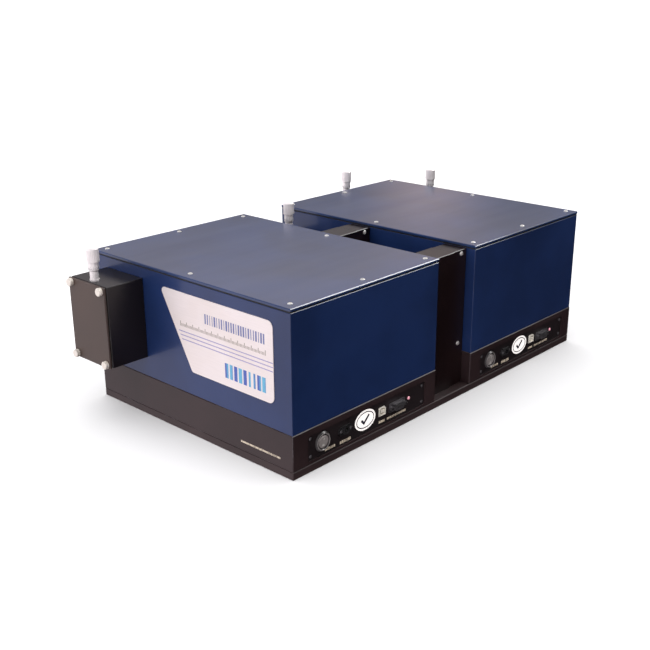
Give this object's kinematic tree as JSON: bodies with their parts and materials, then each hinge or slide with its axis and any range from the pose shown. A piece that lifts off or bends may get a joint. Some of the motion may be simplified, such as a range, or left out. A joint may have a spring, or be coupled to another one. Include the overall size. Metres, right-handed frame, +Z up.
{
  "type": "spectroscope",
  "caption": "Benchtop grating spectroscope: tandem blue housings on a black base plate, with micrometer-driven slits, grating turrets, mirrors and side control panels.",
  "frame": {"origin": "centre of the bounding box's underside, on the table surface", "axes": "+Y along the base plate from the entrance slit to the exit slit, +Z up, +X towards the control panels"},
  "size_m": [0.4, 0.697, 0.222],
  "materials": {
    "black_base": "satin black anodised",
    "bench_black": "matte black anodised",
    "blue_paint": "navy satin powder coat",
    "lid_paint": "navy satin powder coat",
    "slit_black": "satin black anodised",
    "knurled_steel": "knurled",
    "satin_chrome": "satin chrome",
    "brass": "machined",
    "blade_steel": "ground",
    "grating_glass": "ruled",
    "motor_black": "matte black",
    "mirror_glass": "front-surface coating",
    "panel_black": "matte black anodised",
    "bezel_grey": "moulded",
    "rocker_grey": "moulded",
    "jack_black": "moulded",
    "socket_white": "moulded",
    "socket_metal": "nickel plated",
    "light_red": "clear red lens",
    "board_green": "solder mask",
    "screw_steel": "zinc plated",
    "label_silver": "silver foil label on plate"
  },
  "bodies": {
    "root": {"base_plate": "black_base", "front_tray": "black_base", "rear_tray": "black_base", "optical_benches": "bench_black", "front_cover": "blue_paint", "rear_cover": "blue_paint", "front_lid": "lid_paint", "rear_lid": "lid_paint", "left_post": "black_base", "right_post": "black_base", "entrance_slit_box": "slit_black", "middle_slit_box": "slit_black", "side_slit_box": "slit_black", "rear_slit_box": "slit_black", "dust_cover": "slit_black", "thumbscrews": "knurled_steel", "micrometer_sleeves": "satin_chrome", "turret_bushes": "brass", "turret_motors": "motor_black", "concave_mirrors": "mirror_glass", "flat_mirrors": "mirror_glass", "mirror_mounts": "bench_black", "control_panels": "panel_black", "switch_bezels": "bezel_grey", "power_jacks": "jack_black", "usb_sockets": "socket_white", "serial_sockets": "socket_metal", "status_lights": "light_red", "circuit_boards": "board_green", "housing_screws": "screw_steel", "panel_screws": "screw_steel", "name_plate": "label_silver"},
    "entrance_wedge": {"entrance_wedge": "brass"},
    "entrance_thimble": {"entrance_thimble": "satin_chrome"},
    "entrance_blade_left": {"entrance_blade_left": "blade_steel"},
    "entrance_blade_right": {"entrance_blade_right": "blade_steel"},
    "middle_wedge": {"middle_wedge": "brass"},
    "middle_thimble": {"middle_thimble": "satin_chrome"},
    "middle_blade_left": {"middle_blade_left": "blade_steel"},
    "middle_blade_right": {"middle_blade_right": "blade_steel"},
    "side_wedge": {"side_wedge": "brass"},
    "side_thimble": {"side_thimble": "satin_chrome"},
    "side_blade_left": {"side_blade_left": "blade_steel"},
    "side_blade_right": {"side_blade_right": "blade_steel"},
    "rear_wedge": {"rear_wedge": "brass"},
    "rear_thimble": {"rear_thimble": "satin_chrome"},
    "rear_blade_left": {"rear_blade_left": "blade_steel"},
    "rear_blade_right": {"rear_blade_right": "blade_steel"},
    "front_turret": {"front_turret": "bench_black", "front_gratings": "grating_glass", "front_worm_wheel": "brass"},
    "front_worm": {"front_worm": "blade_steel"},
    "front_rocker": {"front_rocker": "rocker_grey"},
    "rear_turret": {"rear_turret": "bench_black", "rear_gratings": "grating_glass", "rear_worm_wheel": "brass"},
    "rear_worm": {"rear_worm": "blade_steel"},
    "rear_rocker": {"rear_rocker": "rocker_grey"},
    "swing_mirror": {"swing_holder": "bench_black", "swing_mirror": "mirror_glass"}
  },
  "joints": [
    {"name": "entrance_wedge_slide", "type": "slide", "parent": "root", "child": "entrance_wedge", "axis": [0, 0, -1], "range_m": [0, 0.003]},
    {"name": "entrance_thimble_turn", "type": "hinge", "parent": "entrance_wedge", "child": "entrance_thimble", "pos_m": [-0.091, -0.3305, 0.2], "axis": [0, 0, -1], "range_deg": [0, 2160]},
    {"name": "entrance_blade_left_slide", "type": "slide", "parent": "root", "child": "entrance_blade_left", "axis": [-1, 0, 0], "range_m": [0, 0.0015]},
    {"name": "entrance_blade_right_slide", "type": "slide", "parent": "root", "child": "entrance_blade_right", "axis": [1, 0, 0], "range_m": [0, 0.0015]},
    {"name": "middle_wedge_slide", "type": "slide", "parent": "root", "child": "middle_wedge", "axis": [0, 0, -1], "range_m": [-0.003, 0]},
    {"name": "middle_thimble_turn", "type": "hinge", "parent": "middle_wedge", "child": "middle_thimble", "pos_m": [-0.098, 0.0055, 0.2], "axis": [0, 0, -1], "range_deg": [-2160, 0]},
    {"name": "middle_blade_left_slide", "type": "slide", "parent": "root", "child": "middle_blade_left", "axis": [1, 0, 0], "range_m": [-0.0015, 0]},
    {"name": "middle_blade_right_slide", "type": "slide", "parent": "root", "child": "middle_blade_right", "axis": [-1, 0, 0], "range_m": [-0.0015, 0]},
    {"name": "side_wedge_slide", "type": "slide", "parent": "root", "child": "side_wedge", "axis": [0, 0, -1], "range_m": [-0.003, 0]},
    {"name": "side_thimble_turn", "type": "hinge", "parent": "side_wedge", "child": "side_thimble", "pos_m": [-0.1902, 0.2325, 0.2], "axis": [0, 0, -1], "range_deg": [-2160, 0]},
    {"name": "side_blade_left_slide", "type": "slide", "parent": "root", "child": "side_blade_left", "axis": [0, 1, 0], "range_m": [-0.0015, 0]},
    {"name": "side_blade_right_slide", "type": "slide", "parent": "root", "child": "side_blade_right", "axis": [0, -1, 0], "range_m": [-0.0015, 0]},
    {"name": "rear_wedge_slide", "type": "slide", "parent": "root", "child": "rear_wedge", "axis": [0, 0, -1], "range_m": [-0.003, 0]},
    {"name": "rear_thimble_turn", "type": "hinge", "parent": "rear_wedge", "child": "rear_thimble", "pos_m": [-0.098, 0.3387, 0.2], "axis": [0, 0, -1], "range_deg": [-2160, 0]},
    {"name": "rear_blade_left_slide", "type": "slide", "parent": "root", "child": "rear_blade_left", "axis": [1, 0, 0], "range_m": [-0.0015, 0]},
    {"name": "rear_blade_right_slide", "type": "slide", "parent": "root", "child": "rear_blade_right", "axis": [-1, 0, 0], "range_m": [-0.0015, 0]},
    {"name": "front_turret_turn", "type": "hinge", "parent": "root", "child": "front_turret", "pos_m": [-0.036, -0.159, 0.09], "axis": [0, 0, 1], "range_deg": [-40, 280]},
    {"name": "front_worm_turn", "type": "hinge", "parent": "root", "child": "front_worm", "pos_m": [-0.036, -0.2003, 0.034], "axis": [1, 0, 0], "range_deg": [-2400, 16800]},
    {"name": "front_rocker_press", "type": "hinge", "parent": "root", "child": "front_rocker", "pos_m": [0.1944, -0.2385, 0.0305], "axis": [0, -1, 0], "range_deg": [0, 16]},
    {"name": "rear_turret_turn", "type": "hinge", "parent": "root", "child": "rear_turret", "pos_m": [-0.036, 0.174, 0.09], "axis": [0, 0, 1], "range_deg": [-40, 280]},
    {"name": "rear_worm_turn", "type": "hinge", "parent": "root", "child": "rear_worm", "pos_m": [-0.036, 0.1327, 0.034], "axis": [1, 0, 0], "range_deg": [-2400, 16800]},
    {"name": "rear_rocker_press", "type": "hinge", "parent": "root", "child": "rear_rocker", "pos_m": [0.1944, 0.0945, 0.0305], "axis": [0, -1, 0], "range_deg": [0, 16]},
    {"name": "swing_mirror_turn", "type": "hinge", "parent": "root", "child": "swing_mirror", "pos_m": [-0.079, 0.2135, 0.13], "axis": [0, 0, 1], "range_deg": [0, 45]}
  ],
  "couplings": [
    {"joint": "entrance_blade_left_slide", "follows": "entrance_wedge_slide", "ratio": 0.5},
    {"joint": "entrance_blade_right_slide", "follows": "entrance_wedge_slide", "ratio": 0.5},
    {"joint": "entrance_thimble_turn", "follows": "entrance_wedge_slide", "rad_per_m": 12566},
    {"joint": "middle_blade_left_slide", "follows": "middle_wedge_slide", "ratio": 0.5},
    {"joint": "middle_blade_right_slide", "follows": "middle_wedge_slide", "ratio": 0.5},
    {"joint": "middle_thimble_turn", "follows": "middle_wedge_slide", "rad_per_m": 12566},
    {"joint": "side_blade_left_slide", "follows": "side_wedge_slide", "ratio": 0.5},
    {"joint": "side_blade_right_slide", "follows": "side_wedge_slide", "ratio": 0.5},
    {"joint": "side_thimble_turn", "follows": "side_wedge_slide", "rad_per_m": 12566},
    {"joint": "rear_blade_left_slide", "follows": "rear_wedge_slide", "ratio": 0.5},
    {"joint": "rear_blade_right_slide", "follows": "rear_wedge_slide", "ratio": 0.5},
    {"joint": "rear_thimble_turn", "follows": "rear_wedge_slide", "rad_per_m": 12566},
    {"joint": "front_worm_turn", "follows": "front_turret_turn", "ratio": 60},
    {"joint": "rear_worm_turn", "follows": "rear_turret_turn", "ratio": 60}
  ]
}
